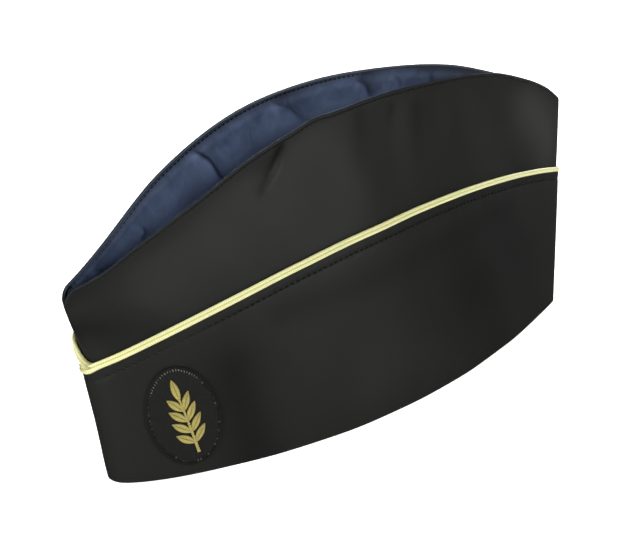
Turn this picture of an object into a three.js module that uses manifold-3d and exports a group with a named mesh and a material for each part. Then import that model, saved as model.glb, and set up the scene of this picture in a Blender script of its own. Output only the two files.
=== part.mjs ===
// A side cap: two black cloth side walls under a sunk blue gusset, with a turn-up curtain round
// the outside, gold braid along the curtain's top edge and an oval badge on the wearer's left.
// Millimetres, +Z up. The front points to -X, the wearer's left to -Y, and the rim stands on z = 0.

import * as THREE from "three";
import Module from "manifold-3d";
import { mergeVertices } from "three/addons/utils/BufferGeometryUtils.js";

// Cloth and clearances
const CLEARANCE = 0.3;
const CROWN_CLOTH = 1.4;
const CURTAIN_CLOTH = 1.3;
const GUSSET_CLOTH = 1.1;

// The crown's outer face seen from above, at the rim's plane and along the top edge. Each outline
// is a lens that runs from station -1 at the front to 1 at the rear, and the powers set how full
// its two ends are. Nose and tail round off the two tips, as a share of half the length.
const RIM = {
  centre: 1.79,
  halfLength: 132.9,
  halfWidth: 37.86,
  frontPower: 0.83,
  rearPower: 1.067,
  nose: 0.058,
  tail: 0.02,
};
const TOP = {
  centre: 0,
  halfLength: 145.55,
  halfWidth: 22,
  frontPower: 0.88,
  rearPower: 0.97,
  nose: 0.02,
  tail: 0.01,
};

// Half way up, the walls swell outwards, most near the front, and the front seam bows inwards
const WALL_SWELL = 2;
const NOSE_SWELL = 3.2;
const NOSE_REACH = 0.138;
const FRONT_BOW = 3.5;

// Height of the crown's top edge over the rim, from the front tip to the rear tip
const TOP_EDGE = [
  { station: -1, height: 86.2 },
  { station: -0.9, height: 91 },
  { station: -0.8, height: 97.6 },
  { station: -0.55, height: 117.1 },
  { station: -0.25, height: 131.4 },
  { station: 0.05, height: 135.8 },
  { station: 0.35, height: 133.4 },
  { station: 0.6, height: 127.5 },
  { station: 0.8, height: 117.2 },
  { station: 0.92, height: 108.8 },
  { station: 1, height: 100.7 },
];

// Where the left top edge waves up or down, and how far along the edge each wave reaches
const EDGE_RIPPLES = [
  { x: -12, rise: -1.1, along: 90 },
  { x: -116, rise: 0.9, along: 10 },
  { x: -84, rise: -1.2, along: 15 },
  { x: -27, rise: 1.1, along: 8 },
];

// The curtain's top edge, where the braid runs: its height at the two ends, its rise between them,
// and how much faster the right one climbs from the front
const BRAID_LINE = { front: 53, rear: 65.3, rise: 22.5, skew: 1.5, rightLift: 10, liftReach: 0.25 };
const BRAID = { height: 3.2, thickness: 2.2, sides: 10 };
const HEM = { floor: 1.3, leg: 1.2, legHeight: 13, fold: 0.7 };

// Welted top edges and the gusset that hangs between them
const WELT_RADIUS = 1.2;
const WELT_SIDES = 8;
const VALLEY = { front: 69, rear: 84 };
const GUSSET_END = 0.985;
const GUSSET_LEAN = 16;

const LEFT = -1;
const RIGHT = 1;

// Soft dents pressed into the side walls, each with its centre, its reach along and up the wall
const WALL_DENTS = [
  { side: LEFT, x: -54, height: 114, along: 13, up: 18, depth: 1.2 },
  { side: LEFT, x: 8, height: 117, along: 20, up: 16, depth: 1.2 },
  { side: LEFT, x: 62, height: 104, along: 26, up: 20, depth: 1.3 },
  { side: RIGHT, x: -28, height: 112, along: 22, up: 18, depth: 1.4 },
  { side: RIGHT, x: 46, height: 110, along: 18, up: 18, depth: 1.2 },
];

// Folds of the gusset, each a ridge across one side that leans towards the valley
const GUSSET_FOLDS = [
  { side: RIGHT, x: -96, lean: 8, along: 12, depth: 1.2 },
  { side: RIGHT, x: -50, lean: 14, along: 12, depth: 2.6 },
  { side: RIGHT, x: 2, lean: 16, along: 15, depth: 3 },
  { side: RIGHT, x: 46, lean: -8, along: 14, depth: 2 },
  { side: LEFT, x: -70, lean: 12, along: 14, depth: 2 },
  { side: LEFT, x: -14, lean: -12, along: 16, depth: 2.6 },
  { side: LEFT, x: 40, lean: 10, along: 14, depth: 2.2 },
];

// The badge: an oval patch on the left of the curtain, and a sprig raised on it
const PATCH = {
  x: -108.3,
  height: 27,
  longAxis: 44.6,
  shortAxis: 30,
  leanDegrees: 14.2,
  thickness: 1.2,
  border: 2,
  borderRise: 0.5,
  sides: 36,
};
const SPRIG = { thickness: 0.8, bottom: -17, stemTop: 9.5, stemWidth: 1.3, leafWidth: 3.3, leafBelly: 0.5 };
// Pairs of leaves from the bottom up, and the one at the tip
const LEAVES = [
  { root: -12.5, angleDegrees: 46, length: 8.8 },
  { root: -7.5, angleDegrees: 43, length: 9.2 },
  { root: -2.4, angleDegrees: 39, length: 9.2 },
  { root: 2.6, angleDegrees: 33, length: 8.8 },
  { root: 7.3, angleDegrees: 0, length: 10.2 },
];
const LEAF_STEPS = 5;

// Mesh steps
const STATIONS = 40;
const STATION_SEARCH_STEPS = 6;
const WALL_LEVELS = 8;
const GUSSET_STEPS = 7;

// Layers of the wall, as insets from the crown's outer face
const CURTAIN_OUT = -(CLEARANCE + CURTAIN_CLOTH);
const CURTAIN_IN = -CLEARANCE;
const CROWN_IN = CROWN_CLOTH;
const WELT_INSET = CROWN_CLOTH / 2;
const GUSSET_OUT = WELT_INSET + WELT_RADIUS + CLEARANCE;
const GUSSET_IN = GUSSET_OUT + GUSSET_CLOTH;
const HEM_LEG_OUT = CROWN_IN + CLEARANCE;
const HEM_LEG_IN = HEM_LEG_OUT + HEM.leg;
const BRAID_INSET = -(CLEARANCE + BRAID.thickness / 2);
const CROWN_FOOT = HEM.floor + CLEARANCE;

const wasm = await Module();
wasm.setup();

const { lerp, degToRad, smoothstep } = THREE.MathUtils;

function bell(distance, reach) {
  return Math.exp(-((distance / reach) ** 2));
}

// A smooth curve through one column of a table
function smoothColumn(rows, column, station) {
  const last = rows.length - 1;
  const next = rows.findIndex((row) => row.station > station);
  const from = next < 0 ? last - 1 : Math.max(next - 1, 0);
  const slopeAt = (i) => {
    const a = rows[Math.max(i - 1, 0)];
    const b = rows[Math.min(i + 1, last)];
    return (b[column] - a[column]) / (b.station - a.station);
  };
  const a = rows[from];
  const b = rows[from + 1];
  const span = b.station - a.station;
  const t = (station - a.station) / span;
  const rise = t * t * (3 - 2 * t);
  const lead = t * (1 - t) * (1 - t) * slopeAt(from);
  const trail = t * t * (1 - t) * slopeAt(from + 1);
  return lerp(a[column], b[column], rise) + span * (lead - trail);
}

function topHeight(station) {
  return smoothColumn(TOP_EDGE, "height", station);
}

// The top edge's height with the waves that the left edge has
function edgeHeight(side, station) {
  const rows = side === LEFT ? EDGE_RIPPLES : [];
  const x = station * TOP.halfLength;
  return rows.reduce((sum, row) => sum + row.rise * bell(x - row.x, row.along), topHeight(station));
}

function braidHeight(side, station) {
  const slope = lerp(BRAID_LINE.front, BRAID_LINE.rear, (station + 1) / 2);
  const rise = (BRAID_LINE.rise + BRAID_LINE.skew * station) * (1 - station ** 2);
  const climb = smoothstep(station + 1, 0, 0.05) * Math.exp(-(station + 1) / BRAID_LINE.liftReach);
  return slope + rise + (side === RIGHT ? BRAID_LINE.rightLift * climb : 0);
}

function lens(edge, station) {
  const front = Math.max(1 + station, 0);
  const rear = Math.max(1 - station, 0);
  const fore = (front ** 2 + 2 * edge.nose * front) ** (edge.frontPower / 2);
  return fore * (rear ** 2 + 2 * edge.tail * rear) ** (edge.rearPower / 2);
}

function widestLens(edge) {
  return Math.max(...Array.from({ length: 401 }, (_, i) => lens(edge, i / 200 - 1)));
}
const RIM_WIDEST = widestLens(RIM);
const TOP_WIDEST = widestLens(TOP);

// A point of an edge's outline seen from above, set in from the crown's outer face
function edgePoint(edge, station, inset) {
  const widest = edge === RIM ? RIM_WIDEST : TOP_WIDEST;
  return {
    x: edge.centre + station * (edge.halfLength - inset),
    y: ((edge.halfWidth - inset) * lens(edge, station)) / widest,
  };
}

// How far the front seam is bowed back at a share of the wall's height
function frontBow(station, rise) {
  return FRONT_BOW * 4 * rise * (1 - rise) * Math.max(-station, 0) ** 6;
}

// A point of the side wall, which is straight from rim to top edge apart from its swell and bow
function wallPoint(side, station, height, inset) {
  const rim = edgePoint(RIM, station, inset);
  const top = edgePoint(TOP, station, inset);
  const rise = height / topHeight(station);
  const fromNose = Math.max(1 + station, 0) / NOSE_REACH;
  const noseSwell = NOSE_SWELL * Math.sqrt(fromNose) * Math.exp((1 - fromNose) / 2);
  const swell = (WALL_SWELL * (1 - station ** 2) + noseSwell) * 4 * rise * (1 - rise);
  const halfWidth = lerp(rim.y, top.y, rise) + swell;
  const x = lerp(rim.x, top.x, rise) + frontBow(station, rise);
  return new THREE.Vector3(x, side * Math.max(halfWidth, CLEARANCE / 2), height);
}

// The same point found from its x, by closing in on its station
function wallPointAt(side, x, height, inset) {
  let station = x / TOP.halfLength;
  for (let step = 0; step < STATION_SEARCH_STEPS; step += 1) {
    station += (x - wallPoint(side, station, height, inset).x) / TOP.halfLength;
  }
  return wallPoint(side, station, height, inset);
}

function wallDent(side, station, height) {
  const { x } = wallPoint(side, station, height, 0);
  const here = WALL_DENTS.filter((dent) => dent.side === side);
  return here.reduce(
    (sum, dent) => sum + dent.depth * bell(x - dent.x, dent.along) * bell(height - dent.height, dent.up),
    0,
  );
}

// Stations from front to rear, crowded towards the two tips
function stations(reach = 1) {
  return Array.from({ length: STATIONS + 1 }, (_, i) => {
    const even = (2 * i) / STATIONS - 1;
    return reach * Math.sin((even * Math.PI) / 2);
  });
}

function signedVolume(position, index) {
  const [a, b, c] = [new THREE.Vector3(), new THREE.Vector3(), new THREE.Vector3()];
  let sum = 0;
  for (let i = 0; i < index.length; i += 3) {
    a.fromArray(position, 3 * index[i]);
    b.fromArray(position, 3 * index[i + 1]);
    c.fromArray(position, 3 * index[i + 2]);
    sum += a.dot(b.cross(c));
  }
  return sum;
}

// A closed geometry from points and triangles, with its faces turned outwards
function closedGeometry(points, index) {
  const position = points.flatMap((point) => point.toArray());
  if (signedVolume(position, index) < 0) {
    index.reverse();
  }
  const geometry = new THREE.BufferGeometry();
  geometry.setAttribute("position", new THREE.Float32BufferAttribute(position, 3));
  geometry.setIndex(index);
  geometry.computeVertexNormals();
  return geometry;
}

// A solid through rings of equal count. Every ring follows the contour, which also closes the ends.
function loft(rings, contour) {
  const count = contour.length;
  const index = [];
  for (let ring = 0; ring + 1 < rings.length; ring += 1) {
    for (let i = 0; i < count; i += 1) {
      const j = (i + 1) % count;
      const near = ring * count;
      const far = near + count;
      index.push(near + i, near + j, far + j, near + i, far + j, far + i);
    }
  }
  const anticlockwise = !THREE.ShapeUtils.isClockWise(contour);
  const last = (rings.length - 1) * count;
  for (const [i, j, k] of THREE.ShapeUtils.triangulateShape(contour, [])) {
    const turned = THREE.ShapeUtils.isClockWise([contour[i], contour[j], contour[k]]) === anticlockwise;
    const [b, c] = turned ? [k, j] : [j, k];
    index.push(i, c, b, last + i, last + b, last + c);
  }
  return closedGeometry(rings.flat(), index);
}

// A strip that runs along one side's wall. section(side, station) lists its outline as inset and height.
function sweepAlongWall(side, section, dent = () => 0) {
  const rings = stations().map((station) =>
    section(side, station).map(({ inset, height }) =>
      wallPoint(side, station, height, inset + dent(side, station, height)),
    ),
  );
  const contour = section(side, 0).map(({ inset, height }) => new THREE.Vector2(inset, height));
  return loft(rings, contour);
}

// The side wall of the crown, from the hem's floor up to the welt
function crownSection(side, station) {
  const head = edgeHeight(side, station) - 2 * WELT_RADIUS - CLEARANCE;
  const levels = Array.from({ length: WALL_LEVELS + 1 }, (_, i) => lerp(CROWN_FOOT, head, i / WALL_LEVELS));
  const outer = levels.map((height) => ({ inset: 0, height }));
  const inner = levels.map((height) => ({ inset: CROWN_IN, height })).reverse();
  return [...outer, ...inner];
}

// The turn-up curtain, with its hem folded under the crown and a short way up inside
function curtainSection(side, station) {
  const head = braidHeight(side, station) - BRAID.height / 2 - CLEARANCE;
  return [
    { inset: CURTAIN_OUT + HEM.fold, height: 0 },
    { inset: CURTAIN_OUT, height: HEM.fold },
    { inset: CURTAIN_OUT, height: head / 3 },
    { inset: CURTAIN_OUT, height: (head * 2) / 3 },
    { inset: CURTAIN_OUT, height: head },
    { inset: CURTAIN_IN, height: head },
    { inset: CURTAIN_IN, height: (head * 2) / 3 },
    { inset: CURTAIN_IN, height: head / 3 },
    { inset: CURTAIN_IN, height: HEM.floor },
    { inset: HEM_LEG_OUT, height: HEM.floor },
    { inset: HEM_LEG_OUT, height: HEM.legHeight },
    { inset: HEM_LEG_IN, height: HEM.legHeight },
    { inset: HEM_LEG_IN, height: HEM.fold },
    { inset: HEM_LEG_IN - HEM.fold, height: 0 },
  ];
}

function ovalSection(inset, height, insetRadius, heightRadius, sides) {
  return Array.from({ length: sides }, (_, i) => {
    const turn = (2 * Math.PI * i) / sides;
    return {
      inset: inset + insetRadius * Math.cos(turn),
      height: height + heightRadius * Math.sin(turn),
    };
  });
}

function weltSection(side, station) {
  const middle = edgeHeight(side, station) - WELT_RADIUS;
  return ovalSection(WELT_INSET, middle, WELT_RADIUS, WELT_RADIUS, WELT_SIDES);
}

function braidSection(side, station) {
  const middle = braidHeight(side, station);
  return ovalSection(BRAID_INSET, middle, BRAID.thickness / 2, BRAID.height / 2, BRAID.sides);
}

// One face of the gusset's cross-section, from the left lip down through the valley to the right lip
function gussetFace(station, inset, drop) {
  const edge = edgePoint(TOP, station, inset);
  const valley = lerp(VALLEY.front, VALLEY.rear, (station + 1) / 2) - drop;
  const steps = 2 * GUSSET_STEPS;
  return Array.from({ length: steps + 1 }, (_, i) => {
    const turn = (Math.PI * i) / steps;
    const side = i < GUSSET_STEPS ? LEFT : RIGHT;
    const sunk = Math.sin(turn);
    const z = lerp(edgeHeight(side, station) - WELT_RADIUS, valley, sunk);
    const rise = z / topHeight(station);
    const x = edge.x + frontBow(station, rise) + GUSSET_LEAN * (1 - rise) * Math.max(-station, 0) ** 6;
    const open = edge.y * Math.abs(Math.cos(turn));
    const fold = GUSSET_FOLDS.filter((row) => row.side === side).reduce(
      (sum, row) => sum + row.depth * bell(x - row.x - row.lean * sunk, row.along),
      0,
    );
    const inwards = fold * Math.sin(2 * turn) * Math.sign(Math.cos(turn));
    const y = side * Math.max(open - Math.min(inwards, open / 2), 0);
    return new THREE.Vector3(x, y, z);
  });
}

function gussetGeometry() {
  const ringAt = (station) => [
    ...gussetFace(station, GUSSET_IN, 0),
    ...gussetFace(station, GUSSET_OUT, GUSSET_CLOTH).reverse(),
  ];
  const contour = ringAt(0).map((point) => new THREE.Vector2(point.y, point.z));
  return loft(stations(GUSSET_END).map(ringAt), contour);
}

// A point of the badge: along is towards the rear, up towards the top, out away from the curtain
const badgeRun = new THREE.Vector3().subVectors(
  wallPointAt(LEFT, PATCH.x + 1, PATCH.height, CURTAIN_OUT),
  wallPointAt(LEFT, PATCH.x - 1, PATCH.height, CURTAIN_OUT),
);
const alongToX = badgeRun.x / badgeRun.length();

function badgePoint(along, up, out) {
  const lean = degToRad(PATCH.leanDegrees);
  const run = along * Math.cos(lean) - up * Math.sin(lean);
  const height = PATCH.height + along * Math.sin(lean) + up * Math.cos(lean);
  return wallPointAt(LEFT, PATCH.x + run * alongToX, height, CURTAIN_OUT - CLEARANCE - out);
}

// The oval patch, made of rings from its middle to its raised border and round its back
function patchGeometry() {
  const halfLong = PATCH.longAxis / 2;
  const halfShort = PATCH.shortAxis / 2;
  const rows = [
    { shrink: halfShort * 0.5, out: PATCH.thickness },
    { shrink: PATCH.border, out: PATCH.thickness },
    { shrink: PATCH.border * 0.75, out: PATCH.thickness + PATCH.borderRise },
    { shrink: PATCH.border * 0.25, out: PATCH.thickness + PATCH.borderRise },
    { shrink: 0, out: PATCH.thickness / 2 },
    { shrink: 0, out: 0 },
    { shrink: halfShort * 0.5, out: 0 },
  ];
  const turns = Array.from({ length: PATCH.sides }, (_, i) => (2 * Math.PI * i) / PATCH.sides);
  const ringOf = ({ shrink, out }) =>
    turns.map((turn) =>
      badgePoint((halfShort - shrink) * Math.sin(turn), (halfLong - shrink) * Math.cos(turn), out),
    );
  const points = rows.flatMap(ringOf);
  const index = [];
  const count = PATCH.sides;
  for (let row = 0; row + 1 < rows.length; row += 1) {
    for (let i = 0; i < count; i += 1) {
      const j = (i + 1) % count;
      const near = row * count;
      const far = near + count;
      index.push(near + i, near + j, far + j, near + i, far + j, far + i);
    }
  }
  const front = points.push(badgePoint(0, 0, PATCH.thickness)) - 1;
  const back = points.push(badgePoint(0, 0, 0)) - 1;
  const last = (rows.length - 1) * count;
  for (let i = 0; i < count; i += 1) {
    const j = (i + 1) % count;
    index.push(front, j, i, back, last + i, last + j);
  }
  return closedGeometry(points, index);
}

// A pointed leaf that grows from the stem along an angle measured from straight up
function leafShape({ root, angleDegrees, length }, flank) {
  const angle = flank * degToRad(angleDegrees);
  const at = (forward, aside) => [
    forward * Math.sin(angle) + aside * Math.cos(angle),
    root + forward * Math.cos(angle) - aside * Math.sin(angle),
  ];
  const shape = new THREE.Shape();
  shape.moveTo(...at(0, 0));
  shape.quadraticCurveTo(...at(length * SPRIG.leafBelly, SPRIG.leafWidth), ...at(length, 0));
  shape.quadraticCurveTo(...at(length * SPRIG.leafBelly, -SPRIG.leafWidth), ...at(0, 0));
  return shape;
}

function stemShape() {
  const half = SPRIG.stemWidth / 2;
  const shape = new THREE.Shape();
  shape.moveTo(-half, SPRIG.bottom);
  shape.lineTo(half, SPRIG.bottom);
  shape.lineTo(half / 2, SPRIG.stemTop);
  shape.lineTo(-half / 2, SPRIG.stemTop);
  return shape;
}

function solidOf(shape) {
  const raised = new THREE.ExtrudeGeometry(shape, {
    depth: SPRIG.thickness,
    bevelEnabled: false,
    curveSegments: LEAF_STEPS,
  });
  raised.deleteAttribute("normal");
  raised.deleteAttribute("uv");
  const merged = mergeVertices(raised);
  const mesh = new wasm.Mesh({
    numProp: 3,
    vertProperties: new Float32Array(merged.attributes.position.array),
    triVerts: new Uint32Array(merged.index.array),
  });
  return new wasm.Manifold(mesh);
}

// The raised sprig: a stem, pairs of leaves and one at the tip, joined flat and laid on the patch
function sprigGeometry() {
  const shapes = LEAVES.flatMap((leaf) =>
    leaf.angleDegrees ? [leafShape(leaf, LEFT), leafShape(leaf, RIGHT)] : [leafShape(leaf, RIGHT)],
  );
  const flat = shapes.map(solidOf).reduce((whole, leaf) => whole.add(leaf), solidOf(stemShape()));
  const { vertProperties, triVerts } = flat.getMesh();
  const points = [];
  for (let i = 0; i < vertProperties.length; i += 3) {
    const out = PATCH.thickness + CLEARANCE + vertProperties[i + 2];
    points.push(badgePoint(vertProperties[i], vertProperties[i + 1], out));
  }
  return closedGeometry(points, Array.from(triVerts));
}

// Cloth and thread colours
const BLACK_CLOTH = { color: 0x2b2c2b, roughness: 0.8, metalness: 0 };
const BLUE_SATIN = { color: 0x3a4668, roughness: 0.55, metalness: 0 };
const GOLD_BRAID = { color: 0xdcd68c, roughness: 0.5, metalness: 0.3 };
const GOLD_THREAD = { color: 0xc9a94e, roughness: 0.45, metalness: 0.4 };

function piece(name, geometry, finish) {
  const mesh = new THREE.Mesh(geometry, new THREE.MeshStandardMaterial(finish));
  mesh.name = name;
  return mesh;
}

const group = new THREE.Group();
for (const [suffix, side] of [["left", LEFT], ["right", RIGHT]]) {
  group.add(piece(`crown_${suffix}`, sweepAlongWall(side, crownSection, wallDent), BLACK_CLOTH));
  group.add(piece(`curtain_${suffix}`, sweepAlongWall(side, curtainSection), BLACK_CLOTH));
  group.add(piece(`top_welt_${suffix}`, sweepAlongWall(side, weltSection), BLACK_CLOTH));
  group.add(piece(`piping_${suffix}`, sweepAlongWall(side, braidSection), GOLD_BRAID));
}
group.add(piece("crown_gusset", gussetGeometry(), BLUE_SATIN));
group.add(piece("badge_patch", patchGeometry(), BLACK_CLOTH));
group.add(piece("badge_emblem", sprigGeometry(), GOLD_THREAD));

export default group;
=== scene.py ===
import math

import bpy
import numpy as np
from mathutils import Matrix, Vector


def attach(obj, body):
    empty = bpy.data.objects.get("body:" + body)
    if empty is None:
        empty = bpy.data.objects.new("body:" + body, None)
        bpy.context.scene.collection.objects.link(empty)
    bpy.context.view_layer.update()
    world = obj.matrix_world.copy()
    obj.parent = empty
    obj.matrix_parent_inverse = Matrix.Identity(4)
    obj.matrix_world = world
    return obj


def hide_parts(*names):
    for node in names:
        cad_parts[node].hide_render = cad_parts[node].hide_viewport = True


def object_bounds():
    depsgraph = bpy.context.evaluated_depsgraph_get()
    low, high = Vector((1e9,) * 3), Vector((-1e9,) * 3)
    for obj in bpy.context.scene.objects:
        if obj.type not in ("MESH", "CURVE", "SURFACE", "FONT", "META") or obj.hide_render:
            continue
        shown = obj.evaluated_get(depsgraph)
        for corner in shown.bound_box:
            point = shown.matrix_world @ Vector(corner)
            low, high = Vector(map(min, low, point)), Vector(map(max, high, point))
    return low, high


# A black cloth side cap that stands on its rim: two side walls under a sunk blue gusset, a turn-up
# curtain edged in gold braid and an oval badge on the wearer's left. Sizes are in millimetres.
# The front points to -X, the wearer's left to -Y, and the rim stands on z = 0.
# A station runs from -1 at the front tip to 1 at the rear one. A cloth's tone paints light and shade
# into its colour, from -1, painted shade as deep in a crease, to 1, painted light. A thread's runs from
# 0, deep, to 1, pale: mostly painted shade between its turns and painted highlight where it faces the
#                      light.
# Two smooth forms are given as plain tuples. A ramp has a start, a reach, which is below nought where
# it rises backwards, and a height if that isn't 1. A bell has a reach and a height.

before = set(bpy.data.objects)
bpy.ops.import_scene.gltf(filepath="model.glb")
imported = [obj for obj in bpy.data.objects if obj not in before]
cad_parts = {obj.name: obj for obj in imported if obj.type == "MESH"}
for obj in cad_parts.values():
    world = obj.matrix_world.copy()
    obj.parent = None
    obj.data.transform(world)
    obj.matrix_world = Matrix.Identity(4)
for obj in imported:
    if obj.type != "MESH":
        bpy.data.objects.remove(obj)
cad_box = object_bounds()

MM = 0.001
LEFT = -1
RIGHT = 1
SIDES = {"left": LEFT, "right": RIGHT}


class Row:
    """Values that belong together, by name."""

    def __init__(self, **values):
        vars(self).update(values)


def rows(columns, *lines):
    """A table as rows with named columns."""
    return [Row(**dict(zip(columns.split(), line))) for line in lines]


# The crown's outer face seen from above, at the rim and along the top edge: two lens outlines, whose
# powers set how full their ends are. Nose and tail round off the two tips, as a share of half a length.
RIM, TOP = rows(
    "centre half_length half_width front_power rear_power nose tail",
    (1.79, 132.9, 37.86, 0.83, 1.067, 0.058, 0.02),
    (0.0, 145.55, 22.0, 0.88, 0.97, 0.02, 0.01),
)
# Half way up, the walls swell outwards, most near the front
WALL_SWELL = 2.0
NOSE_SWELL = Row(depth=3.2, reach=0.138)
# The front seam bows inwards: how deep, at what share of its height in full, and the ramp by which it
# eases. Tuck is the hem's rounding there.
FRONT_BOW = Row(depth=2.75, full=0.4, ease=(0.97, -0.31), tuck=1.2, tuck_reach=0.07)
# Powers of the station that keep the bow to the front tip, and dents away from both tips
FRONT_POWER = 6
TIP_POWER = 14

# Station and height of the crown's top edge, from front to rear
TOP_EDGE = np.array(
    [
        (-1.0, 86.2), (-0.9, 91.0), (-0.8, 97.6), (-0.55, 117.1), (-0.25, 131.4), (0.05, 135.8),
        (0.35, 133.4), (0.6, 127.5), (0.8, 117.2), (0.92, 108.8), (1.0, 100.7),
    ]
)
# Where the left top edge waves up or down, and how far along the edge
EDGE_RIPPLES = rows("x along rise", (-12, 90, -1.1), (-116, 10, 0.9), (-84, 15, -1.2), (-27, 8, 1.1))
# The top edge turns down at the front and rear tip, in curves of these radii
TIP_ROUNDS = {-1: 5.2, 1: 1.4}

# Layers of the sewn wall, as insets from the crown's outer face
SEAM_GAP = 0.06
CROWN_CLOTH = 1.4
CURTAIN_OUT = -1.6
CURTAIN_IN = -0.1
HEM_LEG_OUT = 1.6
HEM_LEG_IN = 2.9
WELT_INSET = 0.7
BRAID_INSET = -1.45
# The hem's leg goes up inside the crown. Its fold has an outer and an inner radius.
HEM = Row(leg=13.0, radius=0.9, inner=0.15, squareness=0.4)
# The crown ends below its top edge, and the curtain below the braid's middle
CROWN_FOOT = 1.7
CROWN_HEAD_DROP = 1.105
CURTAIN_HEAD_DROP = 1.2

# The welt along the top edge puckers at its stitches, now more, now less
WELT_RADIUS = 0.65
WELT_PUCKER = Row(depth=0.05, drift=11.0)
# Its piping is black outside, and a painted highlight turns its inner side a pale navy-grey, less so
# towards the rear
WELT_PAINTED_HIGHLIGHT = (0.3, 0.6)
WELT_REAR_LOSS = (10.0, 60.0, 0.35)
# Below it the wall is drawn in by the seam, and painted shade darkens its cloth, less so towards the rear
WELT_SEAM = (0.8, 0.2)
SEAM_SHADE = (4.0, -0.5)
SEAM_REAR_LOSS = (-52.0, 30.0, 0.8)

# The line that the braid follows: its height at both ends and its rise between them
BRAID_LINE = Row(front=53.6, rear=65.8, rise=22.4, skew=1.5)
# The right braid climbs over the nose, and then slowly comes back. Bluntness is the nose's width where
# it is as long as wide. The left braid's end sags there.
NOSE_CLIMB = (-5.0, 14.0, 11.0)
NOSE_FADE = 50.0
NOSE_BLUNTNESS = 15.4
BRAID_SAG = (6.2, 1.3)
# The braid is a soutache: a thin cord over a thicker one, wrapped in slanted threads
BRAID = Row(upper=0.8, lower=1.1, spacing=1.45, thread_pitch=1.0, thread_relief=0.035, slant=1.2)
# How far the two braids reach past the front seam, along X
BRAID_TAILS = {LEFT: 0.8, RIGHT: 1.8}
# Its size along the cap: thickest at the nose, and pulled thinner towards the rear
BRAID_TAPER = np.array([(-1.0, 1.3), (-0.975, 1.0), (-0.3, 0.94), (0.4, 0.86), (1.0, 0.7)])
BRAID_END_ROUND = Row(front=1.6, rear=0.9, least=0.02)
# What share of its tone it loses: to painted shade between its threads and between its cords, in the
# soiled front half, and to painted shade on its underside and at its front end
BRAID_THREAD_LOSS = 0.14
BRAID_NOTCH = (0.14, -0.14, 0.5)
BRAID_SOIL = (0.6, -0.8, 0.12)
BRAID_UNDERSIDE = (0.3, 0.13, 0.8)
BRAID_END_SHADE = (4.0, 0.8)

# The gusset: its cloth, the height of its valley at both ends and its lean at the front
GUSSET_CLOTH = 1.1
GUSSET_END = 0.99
VALLEY = Row(front=69.0, rear=84.0)
GUSSET_LEAN = 16.0
GUSSET_INSET = 3.0
# Its lip is tucked under the welts, and lies deeper between them at the front tip
GUSSET_LIP = Row(inset=1.3, drop=1.25, tuck=0.09)
GUSSET_TIP = (0.03, 4.0)
# The flat lens of cloth that it is cut from, and the share of its width times length that the lens fills
GUSSET_CUT = Row(width=124.0, length=300.0, fullness=0.72)

# Rows of machine stitches, below the braid's middle, below the top edge and inside it. Wear is how far
# they pale towards the front, arch is 1 outwards or -1 inwards, and sink is their depth at the rear.
TOPSTITCH, SEAM_STITCH, GUSSET_STITCH = rows(
    "drop inset pitch length radius tone wear arch sink",
    (5.9, -1.35, 2.9, 1.9, 0.32, 0.15, 0.65, 1, 0.0),
    (1.55, 0.2, 2.6, 2.4, 0.27, 0.2, 0.18, 1, 0.0),
    (1.8, 1.6, 2.6, 2.3, 0.34, 0.0, 0.1, -1, 0.85),
)
STITCH_END = 0.985
STITCH_WEAR = (-76.0, -28.0)
STITCH_SINK = (0.08, 0.3)
# The row below the braid rises towards it at the rear. It lies in a groove, which each stitch pinches
# and the cloth gathers along.
TOPSTITCH_RISE = (0.0, 1.0, 1.3)
ROW_GROOVE = (0.8, 0.3)
ROW_PINCH = (2.0, 0.04)
ROW_GATHER = (3.0, 0.05)
GATHER_WAVE = Row(length=9.5, sway=2.0, drift=17.0)
# Painted shade darkens the cloth along that row, and a painted shadow lies close under the braid
TOPSTITCH_SHADE = (1.3, -0.25)
BRAID_SHADE = (1.2, -0.5)

# Soft dents of the walls, and bulges below nought: centre, reach along and up the wall, and depth
WALL_DENTS = rows(
    "side x z along up depth",
    (LEFT, -58, 116, 12, 16, 0.9),
    (LEFT, -10, 116, 14, 26, -0.6),
    (LEFT, 13, 114, 12, 24, 0.8),
    (LEFT, 43, 117, 9, 11, 0.9),
    (LEFT, 84, 96, 24, 20, 0.7),
    (LEFT, 126, 86, 16, 13, -2.3),
    (LEFT, -92, 26, 20, 26, 1.4),
    (LEFT, 4, 30, 22, 30, -1.2),
    (LEFT, -128, 74, 9, 9, 0.8),
    (RIGHT, -28, 112, 22, 18, 1.4),
    (RIGHT, 46, 110, 18, 18, 1.2),
)
# Creases of the walls, from a first to a second point: sharp on one flank, soft on the other
WALL_CREASES = rows(
    "side x0 z0 x1 z1 depth sharp soft",
    (LEFT, -44, 127, -60, 106, 1.6, 1.3, 5.0),
    (RIGHT, -30, 128, -40, 108, 0.9, 1.8, 6.0),
    (RIGHT, 40, 126, 52, 106, 0.9, 1.8, 6.0),
)
# Dents and creases fade out over this distance below the top edge
EDGE_FADE = 9.0
# Painted shade and painted highlight on the left wall's cloth, each along a stroke from one point to
# another, and what share of that tone fades along the stroke
LEFT_PAINTED_LIGHT_AND_SHADE = rows(
    "x0 z0 x1 z1 reach tone fade",
    (-45, 126, -58, 109, 1.5, -0.85, 0.5),
    (-85, 42, -80, 4, 12, -0.6, 0.0),
    (116, 104, 129, 80, 15, 0.46, 0.0),
    (-112, 80, -84, 94, 13, 0.15, 0.0),
    (-15, 22, 35, 18, 18, 0.12, 0.0),
    (-60, 60, 90, 66, 7, -0.3, 0.0),
    (-140, 70, -116, 66, 6, -0.6, 0.5),
    (55, 38, 100, 42, 24, -0.45, 0.0),
    (-3, 129, -8, 110, 4.5, -0.4, 0.7),
    (16, 128, 13, 121, 2.2, -0.55, 0.6),
    (31, 124, 26, 104, 5, -0.4, 0.7),
)
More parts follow.
